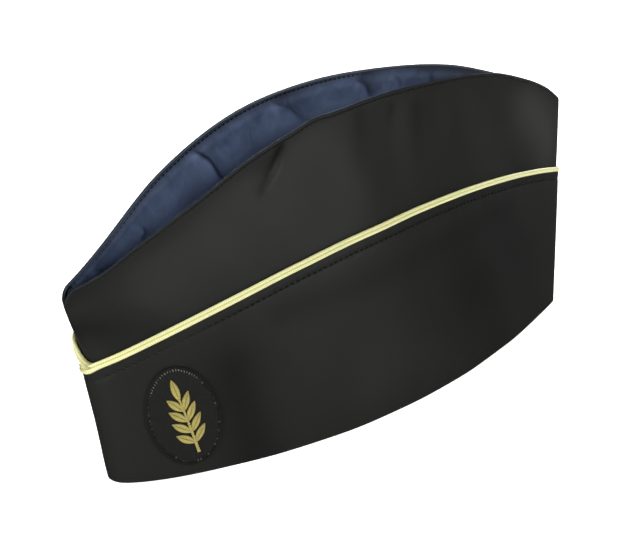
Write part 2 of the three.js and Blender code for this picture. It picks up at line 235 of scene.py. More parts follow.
# Broad folds of the gusset, which lean as they run down to the valley
GUSSET_FOLDS = rows(
    "side x lean along depth",
    (RIGHT, -104, 6, 9, 1.0),
    (RIGHT, -78, 10, 10, 1.6),
    (RIGHT, -36, 10, 12, 1.8),
    (RIGHT, 22, 8, 12, 1.8),
    (RIGHT, 58, -6, 10, 1.6),
    (RIGHT, 84, -8, 9, 1.2),
    (LEFT, -70, 12, 14, 2.0),
    (LEFT, -14, -12, 16, 2.6),
    (LEFT, 40, 10, 14, 2.2),
)
# Crisp creases of the gusset: the cloth stands proud on the soft flank, which catches the light, and
# drops on the sharp one. Dark is the depth of painted shade in the crease, and shade that of painted
# shade on the flank beyond.
GUSSET_CREASES = rows(
    "side x0 z0 x1 z1 depth sharp soft dark shade",
    (RIGHT, -61, 121, -46, 104, 1.2, 1.0, 8.0, 1.0, 0.1),
    (RIGHT, -15, 130, 4, 118, 1.3, 1.4, 7.0, 0.2, 0.65),
    (RIGHT, -95, 98, -97, 92, 0.4, 0.8, 4.0, 0.6, 0.0),
    (RIGHT, -125, 88, -117, 84, 0.3, 1.0, 4.0, 0.6, 0.3),
    (RIGHT, 33, 131, 41, 121, 0.5, 1.2, 7.0, 0.55, 0.9),
    (RIGHT, 53, 129, 58, 122, 0.4, 1.4, 5.0, 0.3, 0.15),
    (RIGHT, 74, 126, 71, 119, 0.4, 1.4, 5.0, 0.3, 0.1),
    (LEFT, -64, 120, -80, 96, 1.3, 1.4, 7.0, 0.8, 0.2),
    (LEFT, -6, 132, -26, 110, 1.4, 1.4, 8.0, 0.6, 0.5),
    (LEFT, 52, 128, 34, 108, 1.2, 1.4, 7.0, 0.6, 0.3),
)
# A crease's line bows sideways between its ends, and fades at both, over shares of its length
CREASE_BOW = Row(depth=1.3, rate=5)
CREASE_START = (-0.1, 0.3)
CREASE_STOP = (1.15, -0.6)
# The painted dark line of shade in a crease lies a little over on the sharp flank, and widens away from
# its ends. The soft flank gets a painted highlight, a share of that dark, and the sharp one painted
# shade.
CREASE_LINE = Row(offset=0.6, end_width=0.4, widening=0.6)
CREASE_PAINTED_HIGHLIGHT = (0.0, 1.5, 0.45)
CREASE_SHADE = (0.0, -0.8)
CREASE_SHADE_REACH = 8.0
# The satin gets painted light down in the trough, most towards the front, and painted shade along
# its seams under the welts, over a shorter way at the rear. Two steps of painted light and shade run
# along it.
TROUGH_PAINTED_LIGHT = (0.06, 0.3, 0.3)
TROUGH_DEEP_PAINTED_LIGHT = (0.25, 0.3, 0.75)
TROUGH_FRONT = (-40.0, -30.0)
GUSSET_SEAM_SHADE = Row(tone=-0.6, reach=4.5, rear_loss=(-10.0, 40.0, 1.5))
GUSSET_SHADES = ((19.0, 12.0, 0.05), (56.0, 20.0, -0.45))

# The oval badge on the left of the curtain. Its felt falls off near its edge and is rounded close to it.
PATCH = Row(x=-108.3, z=27.0, long=44.6, short=30.0, lean=math.radians(14.2), thickness=1.1)
FELT_FALL = (6.0, -6.0, 0.18)
FELT_ROUND = Row(reach=0.8, least=0.05)
FELT_INMOST = 0.985
# Thread wound over its edge. Lift is a share of the felt's thickness, and dark the painted shade between
# turns.
OVERLOCK = Row(inset=0.25, radius=0.42, thread_pitch=0.8, relief=0.1, slant=0.8, lift=0.75, dark=0.4)
# Tacking stitches just inside its edge. Where the oval turns upwards they stand out with a painted
# highlight; elsewhere they are sunk and in painted shade.
TACK = Row(count=90, inset=1.35, reach=0.5, radius=0.18, lift=1.35, sunk=0.25, tilt=0.2, arch=0.25)
TACK_TURN = 0.02
TACK_RAISED_AND_LIT = (0.55, 0.3)
# How they differ from each other, in shares of reach and radius, in slant, place and tone
TACK_REACHES = (0.6, 1.2)
TACK_SLANTS = (-0.2, 0.6)
TACK_SCATTER = 0.1
TACK_RADII = (0.8, 1.2)
TACK_TONES = (0.45, 1.0)
TACK_DULL = Row(power=5, tone=0.5)
# The embroidered sprig: a stem of two twisted strands, and leaves of thread over a pad
STEM = Row(bottom=-17.0, top=9.5, radius=0.4, tip=0.6, twist=2.4, sway=0.85, lift=0.55, dark=0.4)
LEAF = Row(width=3.3, belly=0.5, sunk=0.1)
# Span is the share of a leaf's length that its pad and its threads cover
PAD = Row(span=(0.03, 0.985), height=0.5, width=0.9, foot=-0.2, tone=0.15)
SATIN_STITCH = Row(
    span=(0.05, 0.97), radius=0.22, pitch=0.42, slant=1.1, first=0.15, lift=0.12, fall=0.95
)
# A thread's tone along its run, a painted highlight over its arch: its least, and what part of a half
# turn it rises and falls over
SHINE = Row(least=0.45, start=0.12, span=0.8)
SHINE_SHARES = (0.75, 1.0)
# Pairs of leaves from the bottom up, and the one at the tip, with their angles in degrees
LEAVES = rows(
    "root angle length",
    (-12.5, 46, 8.8),
    (-7.5, 43, 9.2),
    (-2.4, 39, 9.2),
    (2.6, 33, 8.8),
    (7.3, 0, 10.2),
)

# Mesh steps along a piece, and up, round or across it
STEPS = Row(
    wall=400, hem=12, gusset=430, welt=700, braid=1500, stitch=6, felt=160, overlock=900, pad=22, stem=120
)
LEVELS = Row(crown=54, curtain=44, gusset=108, felt=26)
RING = Row(welt=14, braid=28, thread=6, overlock=12, pad=12, stem=8)
# Steps of lines that are only measured, and of the search for a station
FINE = Row(stitch=4000, oval=2001, lens=401)
SEARCH_STEPS = 6
# How the steps crowd: towards the tips, the crown's top, the curtain's head and the gusset's lips
CROWDING = Row(tips=0.5, crown=0.5, curtain=1.4, gusset=0.6)
# Least angles, in degrees, at which an edge is drawn sharp on cloth and on thread
CLOTH_SHARP = 55
THREAD_SHARP = 180
CLOTH_UV = "cloth"
TONE = "tone"

random = np.random.default_rng(57)
# Long shallow waves of the cloth: how many, and between what lengths, leans and depths
WAVE = Row(count=9, lengths=(34, 110), leans=(-1.2, 1.2), depths=(0.05, 0.14))
WAVES = [
    Row(
        run=2 * np.pi / random.uniform(*WAVE.lengths),
        lean=random.uniform(*WAVE.leans),
        phase=random.uniform(0, 2 * np.pi),
        depth=random.uniform(*WAVE.depths),
    )
    for _ in range(WAVE.count)
]


# Shape of the cap

def ramp(value, start, reach, height=1.0):
    """A smooth rise from 0 at the start to a height, a reach further on."""
    share = np.clip((value - start) / reach, 0, 1)
    return height * share * share * (3 - 2 * share)


def bell(distance, reach, height=1.0):
    return height * np.exp(-((distance / reach) ** 2))


def at_front(station):
    """How near a station is to the front tip: 1 there, and soon nearly 0."""
    return np.maximum(-station, 0) ** FRONT_POWER


def top_height(station):
    """Height of the plain top edge: a smooth curve through the rows of TOP_EDGE."""
    knots, heights = TOP_EDGE.T
    order = np.arange(len(knots))
    before = np.maximum(order - 1, 0)
    after = np.minimum(order + 1, len(knots) - 1)
    slopes = (heights[after] - heights[before]) / (knots[after] - knots[before])
    near = np.clip(np.searchsorted(knots, station, side="right") - 1, 0, len(knots) - 2)
    span = knots[near + 1] - knots[near]
    t = (station - knots[near]) / span
    lead = t * (1 - t) ** 2 * slopes[near]
    trail = t**2 * (1 - t) * slopes[near + 1]
    rise = t * t * (3 - 2 * t)
    return heights[near] + (heights[near + 1] - heights[near]) * rise + span * (lead - trail)


def edge_height(side, station):
    """The top edge's height: it waves on the left and turns down at both tips."""
    x = station * TOP.half_length
    height = top_height(station)
    for tip, radius in TIP_ROUNDS.items():
        near_tip = np.clip(1 - np.abs(station - tip) * TOP.half_length / radius, 0, 1)
        height = height - radius * (1 - np.sqrt(1 - near_tip**2))
    ripple = sum(bell(x - row.x, row.along, row.rise) for row in EDGE_RIPPLES)
    return height + np.where(np.asarray(side) == LEFT, ripple, 0)


def braid_height(side, station, crossed=False):
    """Height of the braid's middle. Where the right braid has crossed the nose, it lies on the left."""
    slope = (BRAID_LINE.rear - BRAID_LINE.front) * (station + 1) / 2
    rise = (BRAID_LINE.rise + BRAID_LINE.skew * station) * (1 - station**2)
    from_nose = (station + 1) * TOP.half_length
    round_nose = np.sqrt(np.maximum(from_nose * (from_nose + NOSE_BLUNTNESS), 0))
    past_nose = np.where(crossed, -round_nose, round_nose)
    lift = ramp(past_nose, *NOSE_CLIMB) * np.exp(-from_nose / NOSE_FADE)
    return BRAID_LINE.front + slope + rise + np.where(side == RIGHT, lift, -bell(past_nose, *BRAID_SAG))


def topstitch_line(side, station):
    """The line that the row of stitches below the braid keeps its drop from."""
    return braid_height(side, station) + ramp(station, *TOPSTITCH_RISE)


def outline(edge, station, inset):
    """x and half width of an edge's lens outline, set in from the crown's outer face."""

    def lens(at):
        front = np.maximum(1 + at, 0)
        rear = np.maximum(1 - at, 0)
        front = (front**2 + 2 * edge.nose * front) ** (edge.front_power / 2)
        return front * (rear**2 + 2 * edge.tail * rear) ** (edge.rear_power / 2)

    x = edge.centre + station * (edge.half_length - inset)
    return x, (edge.half_width - inset) * lens(station) / lens(np.linspace(-1, 1, FINE.lens)).max()


def front_bow(station, rise):
    """How far the front seam is bowed back at a share of the wall's height."""
    filling = 1 - np.maximum(1 - rise / FRONT_BOW.full, 0) ** 2
    bow = FRONT_BOW.depth * filling * ramp(rise, *FRONT_BOW.ease)
    tuck = FRONT_BOW.tuck * np.exp(-np.maximum(rise, 0) / FRONT_BOW.tuck_reach)
    return (bow + tuck) * at_front(station)


def wall(side, station, height, inset):
    """Points of a side wall, straight from rim to top edge apart from its swell and the front's bow."""
    station, height, inset = np.broadcast_arrays(station, height, inset)
    rise = height / top_height(station)
    rim_x, rim_y = outline(RIM, station, inset)
    top_x, top_y = outline(TOP, station, inset)
    from_nose = np.maximum(1 + station, 0) / NOSE_SWELL.reach
    nose_swell = NOSE_SWELL.depth * np.sqrt(from_nose) * np.exp((1 - from_nose) / 2)
    swell = (WALL_SWELL * (1 - station**2) + nose_swell) * 4 * rise * (1 - rise)
    half_width = np.maximum(rim_y + (top_y - rim_y) * rise + swell, SEAM_GAP / 2)
    x = rim_x + (top_x - rim_x) * rise + front_bow(station, rise)
    return np.stack([x, side * half_width, height], -1)


def beside_crease(x, z, crease):
    """Distance across a crease's line, above nought on its soft flank, and how it fades at both ends."""
    run_x, run_z = crease.x1 - crease.x0, crease.z1 - crease.z0
    from_x, from_z = x - crease.x0, z - crease.z0
    length = math.hypot(run_x, run_z)
    along = (from_x * run_x + from_z * run_z) / length**2
    across = (from_x * run_z - from_z * run_x) / length
    bow = np.sin(np.pi * np.clip(along, 0, 1)) * np.sin(CREASE_BOW.rate * along)
    return across + CREASE_BOW.depth * bow, ramp(along, *CREASE_START) * ramp(along, *CREASE_STOP)


def crease_depth(x, z, crease):
    """How far a crease presses in: sharp on one flank of its line, soft on the other."""
    across, ends = beside_crease(x, z, crease)
    flank = np.where(across > 0, crease.soft, crease.sharp)
    return crease.depth * np.exp(-np.abs(across) / flank) * ends


def crease_painted_shading(x, z, crease):
    """Painted light and shade of a crease: a dark line, a paler soft flank and a shaded sharp one."""
    across, ends = beside_crease(x, z, crease)
    width = CREASE_LINE.end_width + CREASE_LINE.widening * ends
    line = bell(across + CREASE_LINE.offset, width, crease.dark)
    paler = ramp(across, *CREASE_PAINTED_HIGHLIGHT) * crease.dark * np.exp(-np.maximum(across, 0) / crease.soft)
    shaded = crease.shade * np.exp(-np.maximum(-across, 0) / CREASE_SHADE_REACH)
    return (paler - np.maximum(line, shaded * ramp(across, *CREASE_SHADE))) * ends


def wall_relief(side, station, height):
    """How far the cloth of a wall is pressed in by dents, creases and waves."""
    place = wall(side, station, height, 0.0)
    x, z = place[..., 0], place[..., 2]
    relief = sum(
        wave.depth * np.sin(wave.run * (x + side * wave.lean * z) + wave.phase) for wave in WAVES
    )
    for dent in WALL_DENTS:
        pressed = bell(x - dent.x, dent.along) * bell(z - dent.z, dent.up, dent.depth)
        relief = relief + (side == dent.side) * pressed
    for crease in WALL_CREASES:
        relief = relief + (side == crease.side) * crease_depth(x, z, crease)
    below_edge = ramp(edge_height(side, station) - height, 0, EDGE_FADE)
    return relief * below_edge * (1 - np.clip(np.abs(station), 0, 1) ** TIP_POWER)


def wall_painted_light(side, points):
    """Painted light and shade on a wall's cloth at its points: on the left wall only."""
    tone = np.zeros(points.shape[:-1])
    for row in LEFT_PAINTED_LIGHT_AND_SHADE if side == LEFT else ():
        start = np.array([row.x0, row.z0], float)
        run = np.array([row.x1, row.z1]) - start
        from_start = points[..., ::2] - start
        share = np.clip(from_start @ run / (run @ run), 0, 1)
        away = np.linalg.norm(from_start - share[..., None] * run, axis=-1)
        tone += (1 - row.fade * share) * bell(away, row.reach, row.tone)
    return np.clip(tone, -1, 1)


def cloth_wall(side, station, height, inset):
    """Points of a layer of the side wall, with the wall's dents and waves."""
    station, height, inset = np.broadcast_arrays(station, height, inset)
    return wall(side, station, height, inset + wall_relief(side, station, height))


def station_at(x, height, inset):
    """The station of a wall point, closed in on from its x."""
    station = x / TOP.half_length
    for _ in range(SEARCH_STEPS):
        station = station + (x - wall(LEFT, station, height, inset)[..., 0]) / TOP.half_length
    return station


def stations(count, reach=1.0):
    """Stations from front to rear, crowded towards the two tips."""
    even = np.linspace(-1, 1, count + 1)
    return reach * (even + (np.sin(even * np.pi / 2) - even) * CROWDING.tips)


def run_length(points):
    """Distance run along a line of points, in millimetres."""
    steps = np.linalg.norm(np.diff(points, axis=0), axis=1)
    return np.concatenate([[0], np.cumsum(steps)])


def ring_turns(count):
    """Even turns round a ring, half a step off its start."""
    return 2 * np.pi * (np.arange(count) + 0.5) / count


# Meshes and pieces

def loft(rings, closed=False):
    """Closed skins over rings of points, each ring of an even count. Leading axes are separate skins."""
    rings = np.asarray(rings, float)
    rings = rings.reshape(-1, *rings.shape[-3:])
    skins, steps, sides = rings.shape[:3]
    ring = np.arange(steps if closed else steps - 1)[:, None]
    spoke = np.arange(sides)
    far = (ring + 1) % steps * sides
    beside = (spoke + 1) % sides
    walls = np.stack([ring * sides + spoke, ring * sides + beside, far + beside, far + spoke], -1)
    quads = [walls.reshape(-1, 4)]
    if not closed:
        rung = np.arange(sides // 2 - 1)
        cap = np.stack([rung, sides - 1 - rung, sides - 2 - rung, rung + 1], -1)
        quads += [cap, cap[:, ::-1] + (steps - 1) * sides]
    quads = np.concatenate(quads)
    points = rings.reshape(skins, -1, 3)
    a, b, c, d = (points[:, quads[:, corner]] - points[:, :1] for corner in range(4))
    volume = (np.cross(b - a, c - a) * a).sum((1, 2)) + (np.cross(c - a, d - a) * a).sum((1, 2))
    turned = np.where(volume[:, None, None] < 0, quads[None, :, ::-1], quads[None])
    first = np.arange(skins)[:, None, None] * steps * sides
    return points.reshape(-1, 3), (turned + first).reshape(-1, 4)


def joined(parts):
    """Several skins as one list of points and one of faces."""
    offsets = np.cumsum([0] + [len(points) for points, _ in parts[:-1]])
    points = np.concatenate([points for points, _ in parts])
    return points, np.concatenate([quads + offset for (_, quads), offset in zip(parts, offsets)])


def tube(path, radius, side, sides=RING.thread):
    """Rings of a round thread along paths that lie on a side wall."""
    run = np.gradient(path, axis=-2)
    run /= np.linalg.norm(run, axis=-1, keepdims=True)
    beside = np.cross(run, (0, side, 0))
    beside /= np.linalg.norm(beside, axis=-1, keepdims=True)
    above = np.cross(beside, run)
    turn = ring_turns(sides)[:, None]
    ring = np.cos(turn) * beside[..., None, :] + np.sin(turn) * above[..., None, :]
    return path[..., None, :] + np.asarray(radius)[..., None, None] * ring


def rounded_ends(steps):
    """Share of a thread's full radius along its length, closing in at both ends."""
    reach = np.abs(np.linspace(-1, 1, steps))
    return np.sqrt(np.clip(1 - reach**4, 0.1, 1))


def both_faces(front, back):
    """Rings of a cloth sheet, or values for them: up its front face and back down its other face."""
    return np.concatenate([front, back[:, ::-1]], axis=1)


def cloth_places(run, across):
    """A place on the weave for each point of a sheet, the same on both faces."""
    both = both_faces(across, across)
    return np.stack([np.broadcast_to(run[:, None], both.shape), both], -1).reshape(-1, 2)


def add_object(name, data):
    made = bpy.data.objects.new(name, data)
    bpy.context.scene.collection.objects.link(made)
    return made


def add_piece(name, skin, material, slot, node_name=None, cloth=None, tone=None, sharp=CLOTH_SHARP):
    """A mesh piece that rides on the cap.

    For each point, cloth is its place on the weave in millimetres, and tone how pale it is."""
    points, quads = skin
    mesh = bpy.data.meshes.new(name)
    mesh.vertices.add(len(points))
    mesh.vertices.foreach_set("co", (points * MM).astype(np.float32).ravel())
    mesh.loops.add(quads.size)
    mesh.loops.foreach_set("vertex_index", quads.astype(np.int32).ravel())
    mesh.polygons.add(len(quads))
    mesh.polygons.foreach_set("loop_start", np.arange(0, quads.size, 4, dtype=np.int32))
    mesh.update(calc_edges=True)
    mesh.validate()
    mesh.shade_smooth()
    mesh.set_sharp_from_angle(angle=math.radians(sharp))
    if cloth is not None:
        layer = mesh.uv_layers.new(name=CLOTH_UV)
        layer.uv.foreach_set("vector", cloth[quads.ravel()].astype(np.float32).ravel())
    if tone is not None:
        attribute = mesh.attributes.new(TONE, "FLOAT", "POINT")
        attribute.data.foreach_set("value", tone.astype(np.float32).ravel())
    mesh.materials.append(material)
    piece = add_object(name, mesh)
    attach(piece, "root")
    if node_name:
        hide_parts(node_name)
    return piece


# Materials

# A wave texture repeats every 0.314 of its coordinates at scale 1
WAVE_PERIOD = 2 * math.pi / 20


def linear(hex_colour):
    """An sRGB hex colour as linear red, green, blue and alpha."""
    channels = [int(hex_colour[start:start + 2], 16) / 255 for start in (1, 3, 5)]
    return *(c / 12.92 if c <= 0.04045 else ((c + 0.055) / 1.055) ** 2.4 for c in channels), 1.0


class Surface:
    """A material, with short calls that add its nodes. Each gives the output that others link to."""

    def __init__(self, name):
        self.material = bpy.data.materials.new(name)
        self.material.use_nodes = True
        self.tree = self.material.node_tree
        self.tree.nodes.clear()

    def add(self, kind, output, inputs=None, **settings):
        """Add a node. An input is a value, an sRGB hex colour, or another node's output to link."""
        made = self.tree.nodes.new("ShaderNode" + kind)
        for name, value in settings.items():
            setattr(made, name, value)
        for name, value in (inputs or {}).items():
            if isinstance(value, bpy.types.NodeSocket):
                self.tree.links.new(value, made.inputs[name])
            else:
                made.inputs[name].default_value = linear(value) if isinstance(value, str) else value
        return made.outputs[output] if output else None

    def tone(self):
        return self.add("Attribute", "Fac", attribute_name=TONE)

    def cloth(self):
        """The place on the cloth, in millimetres along its threads."""
        return self.add("UVMap", "UV", uv_map=CLOTH_UV)

    def place(self):
        """The place on the piece, in metres."""
        return self.add("TexCoord", "Object")

    def noise(self, place, size, detail=2.0, distortion=0.0):
        """Soft blotches of about a size, in the units of the place."""
        inputs = {"Vector": place, "Scale": 1 / size, "Detail": detail, "Distortion": distortion}
        return self.add("TexNoise", "Fac", inputs)

    def lines(self, place, spacing, wobble, **settings):
        """Parallel soft lines, a spacing apart."""
        inputs = {"Vector": place, "Scale": WAVE_PERIOD / spacing, "Distortion": wobble}
        return self.add("TexWave", "Fac", inputs, **settings)

    def mix(self, share, first, second, **settings):
        return self.add("MixRGB", "Color", {"Fac": share, "Color1": first, "Color2": second}, **settings)

    def spread(self, value, low=0.0, high=1.0, end=1.0):
        """A value from 0 to an end, spread from low to high."""
        inputs = {"Value": value, "From Max": end, "To Min": low, "To Max": high}
        return self.add("MapRange", "Result", inputs)

    def bump(self, height, strength, depth, **inputs):
        """A normal that follows a relief of a depth in millimetres."""
        relief = {"Height": height, "Strength": strength, "Distance": depth * MM}
        return self.add("Bump", "Normal", {**relief, **inputs})

    def finish(self, colour, rough, gloss, **inputs):
        look = {"Base Color": colour, "Roughness": rough, "Specular IOR Level": gloss, **inputs}
        self.add("OutputMaterial", None, {"Surface": self.add("BsdfPrincipled", "BSDF", look)})
        return self.material


def black_gabardine():
    """Worsted gabardine, woven in a steep twill and pressed: near black, with a soft sheen at a slant.

    Its twill lines lie 0.5 mm apart, too fine to show, so they are drawn 0.9 mm apart and faint."""
    surface = Surface("black_gabardine_pressed_twill")
    cloth = surface.cloth()
    slant = surface.add("Mapping", "Vector", {"Vector": cloth, "Rotation": (0, 0, math.radians(-27))})
    twill = surface.lines(slant, spacing=0.9, wobble=0.6)
    mottle = surface.noise(cloth, size=26, detail=3.0)
    melange = surface.noise(cloth, size=0.7, detail=1.0)
    plain = surface.mix(melange, surface.mix(mottle, "#151614", "#1a1b19"), "#1b1c1a")
    # The tone attribute paints shade, towards #060606, and light, towards #323330, into the cloth's
    # colour
    tone = surface.tone()
    dull = surface.spread(tone, end=-1.0)
    dulled = surface.mix(dull, plain, "#060606")
    colour = surface.mix(surface.spread(tone), dulled, "#323330")
    rough = surface.spread(dull, surface.spread(mottle, 0.4, 0.47), 0.62)
    normal = surface.bump(surface.mix(0.35, twill, melange), strength=0.12, depth=0.12)
    return surface.finish(colour, rough, gloss=0.1, Normal=normal)


def navy_satin():
    """Lining satin, woven with long floats: a deep blue with a soft gloss that breaks along its creases.

    Its threads lie 0.15 mm apart, too fine to show, so the weave is drawn 0.7 mm apart and faint."""
    surface = Surface("navy_lining_satin")
    cloth = surface.cloth()
    weave = surface.lines(cloth, spacing=0.7, wobble=1.2, bands_direction="Y")
    rumple = surface.noise(cloth, size=9, detail=4.0, distortion=1.2)
    plain = surface.mix(rumple, "#273146", "#505d77")
    # The tone attribute paints shade, towards #12161f, and light, towards #5f6c8a, into the satin's
    # colour
    tone = surface.tone()
    satin_shaded = surface.mix(surface.spread(tone, end=-1.0), plain, "#12161f")
    colour = surface.mix(surface.spread(tone), satin_shaded, "#5f6c8a")
    rough = surface.spread(rumple, 0.4, 0.55)
    fine = surface.bump(weave, strength=0.15, depth=0.06)
    normal = surface.bump(rumple, strength=0.5, depth=0.8, Normal=fine)
    return surface.finish(colour, rough, gloss=0.15, Normal=normal)


def thread_material(name, deep, pale, rough, gloss=0.45, sheen=0.1):
    """Spun thread, from its deep to its pale colour by the tone of each point: mostly painted shade
    between the turns and painted highlight where it faces the light.
    """
    surface = Surface(name)
    fibre = surface.noise(surface.place(), size=0.8 * MM)
    colour = surface.mix(surface.tone(), deep, pale)
    worn = surface.mix(1.0, colour, surface.spread(fibre, 0.82, 1.12), blend_type="MULTIPLY")
    look = {"Normal": surface.bump(fibre, strength=0.2, depth=0.1), "Sheen Weight": sheen}
    return surface.finish(worn, rough, gloss, **look)


def black_felt():
    """Pressed wool felt: a matt black with a faint nap of short fibres."""
    surface = Surface("black_pressed_felt")
    nap = surface.noise(surface.place(), size=0.9 * MM, detail=4.0)
    colour = surface.mix(nap, "#0d0d0c", "#1a1a18")
    normal = surface.bump(nap, strength=0.35, depth=0.25)
    return surface.finish(colour, rough=0.6, gloss=0.1, Normal=normal)


def studio_floor():
    """Opal acrylic board, lit from behind: an even white with hardly a shadow."""
    surface = Surface("white_opal_acrylic_lit")
    mottle = surface.noise(surface.place(), size=1 / 3)
    colour = surface.mix(mottle, "#f7f7f6", "#fbfbfa")
    glow = {"Emission Color": "#ffffff", "Emission Strength": FLOOR_GLOW}
    return surface.finish(colour, rough=0.95, gloss=0.0, **glow)


GABARDINE = black_gabardine()
SATIN = navy_satin()
FELT = black_felt()
SOUTACHE = thread_material("pale_gold_soutache_plaited", "#6f662c", "#cbcb94", 0.42)
GOLD_THREAD = thread_material("gold_embroidery_thread", "#5c511e", "#918640", 0.45)
BLACK_THREAD = thread_material("black_sewing_thread", "#060606", "#2a2b28", 0.6, gloss=0.08, sheen=0.0)
OVERLOCK_THREAD = thread_material("black_overlock_thread", "#0b0b0a", "#171716", 0.7, 0.08, sheen=0.0)
PIPING = thread_material("black_navy_piping_painted_highlight", "#1b1d1f", "#4c5560", 0.5, gloss=0.1, sheen=0.0)
GREY_THREAD = thread_material("grey_tacking_thread", "#0e0e0d", "#70706b", 0.7, gloss=0.06, sheen=0.0)


# The cap's pieces

def crown_wall(suffix, side):
    """A side wall of the crown, from inside the hem up to the welt, drawn in where the welt is sewn."""
    station = stations(STEPS.wall)[:, None]
    head = edge_height(side, station) - CROWN_HEAD_DROP
    share = np.linspace(0, 1, LEVELS.crown)
    height = CROWN_FOOT + (head - CROWN_FOOT) * (share + CROWDING.crown * share * (1 - share))
    outer = cloth_wall(side, station, height, bell(head - height, *WELT_SEAM))
    inner = cloth_wall(side, station, height, CROWN_CLOTH)
    # Painted shade on the wall's cloth just under the welt
    seam_shade = bell(head - height, *SEAM_SHADE) * (1 - ramp(outer[..., 0], *SEAM_REAR_LOSS))
    tone = np.clip(wall_painted_light(side, outer) + seam_shade, -1, 1)
    places = cloth_places(run_length(outer[:, LEVELS.crown // 2]), height)
    skin = loft(both_faces(outer, inner))
    tones = both_faces(tone, tone)
    add_piece(f"crown_wall_{suffix}", skin, GABARDINE, "black_cloth", f"crown_{suffix}", places, tones)


def front_fade(x):
    """How far the stitches pale at x, and the painted shade along their row fades: from 0 to 1 at the
    front.
    """
    return ramp(x, *STITCH_WEAR)


def row_relief(above_row, run):
    """How far the row of stitches below the braid presses the cloth in, at a height above it."""
    pinch = np.cos(2 * np.pi * run / TOPSTITCH.pitch)
    sway = GATHER_WAVE.sway * np.sin(run / GATHER_WAVE.drift)
    gather = np.cos(2 * np.pi * run / GATHER_WAVE.length + sway)
    pressed = bell(above_row, *ROW_GROOVE) + pinch * bell(above_row, *ROW_PINCH)
    return pressed + gather * bell(above_row, *ROW_GATHER)


def curtain(suffix, side):
    """The turn-up curtain: outside face, rounded hem under the crown, and a short leg up inside."""
    station = stations(STEPS.wall)[:, None]
    head = braid_height(side, station) - CURTAIN_HEAD_DROP
    drop = 1 - np.linspace(0, 1, LEVELS.curtain) ** CROWDING.curtain
    face = HEM.radius + (head - HEM.radius) * drop
    turn = np.linspace(0, np.pi, STEPS.hem + 2)[1:-1]
    leg = np.linspace(HEM.radius, HEM.leg, STEPS.hem)
    every = np.ones_like(station)

    def path(outer, inner, fold_height):
        """Inset and height of one face of the cloth, from the curtain's head round to the leg's end."""
        middle = (outer + inner) / 2
        fold = HEM.radius - fold_height * np.sin(turn) ** HEM.squareness
        bend = np.sign(np.cos(turn)) * np.abs(np.cos(turn)) ** HEM.squareness
        inset = np.concatenate(
            [np.full(LEVELS.curtain, outer), middle + (outer - middle) * bend, np.full(STEPS.hem, inner)]
        )
        return every * inset, np.concatenate([face, every * fold, every * leg], axis=1)

    inset, height = path(CURTAIN_OUT, HEM_LEG_IN, HEM.radius)
    row_height = topstitch_line(side, station) - TOPSTITCH.drop
    run = run_length(cloth_wall(side, station, row_height, CURTAIN_OUT)[:, 0])
    on_face = np.arange(height.shape[1]) < LEVELS.curtain
    above_row = height - row_height
    outer = cloth_wall(side, station, height, inset + row_relief(above_row, run[:, None]) * on_face)
    inner_inset, inner_height = path(CURTAIN_IN, HEM_LEG_OUT, HEM.inner)
    inner = cloth_wall(side, station, inner_height, inner_inset)
    across = np.cumsum(np.abs(np.diff(height, axis=1, prepend=height[:, :1])), axis=1)
    # Painted shade along the stitched row, and painted shadow under the braid
    row_shade = bell(above_row, *TOPSTITCH_SHADE) * (1 - front_fade(outer[..., 0]))
    tone = wall_painted_light(side, outer) + (row_shade + bell(head - height, *BRAID_SHADE)) * on_face
    tones = np.clip(both_faces(tone, wall_painted_light(side, inner)), -1, 1)
    skin = loft(both_faces(outer, inner))
    places = cloth_places(run, -across)
    name = f"curtain_cloth_{suffix}"
    add_piece(name, skin, GABARDINE, "black_cloth", f"curtain_{suffix}", places, tones)


def welt(suffix, side):
    """A cloth-covered welt along a top edge, slightly pinched at each stitch."""
    station = stations(STEPS.welt)[:, None]
    turn = ring_turns(RING.welt)
    middle = edge_height(side, station) - WELT_RADIUS
    run = run_length(cloth_wall(side, station, middle, WELT_INSET)[:, 0])[:, None]
    uneven = (1 + np.sin(run / WELT_PUCKER.drift)) / 2
    pinch = WELT_PUCKER.depth * uneven * np.cos(2 * np.pi * run / SEAM_STITCH.pitch)
    radius = WELT_RADIUS * (1 + pinch)
    inset = WELT_INSET + radius * np.cos(turn)
    rings = cloth_wall(side, station, middle + radius * np.sin(turn), inset)
    # Painted highlight on the piping's inner side, less of it towards the rear
    navy = ramp(np.cos(turn), *WELT_PAINTED_HIGHLIGHT) * (1 - ramp(rings[..., 0], *WELT_REAR_LOSS))
    name = f"top_welt_cloth_{suffix}"
    add_piece(name, loft(rings), PIPING, "black_cloth", f"top_welt_{suffix}", tone=navy)


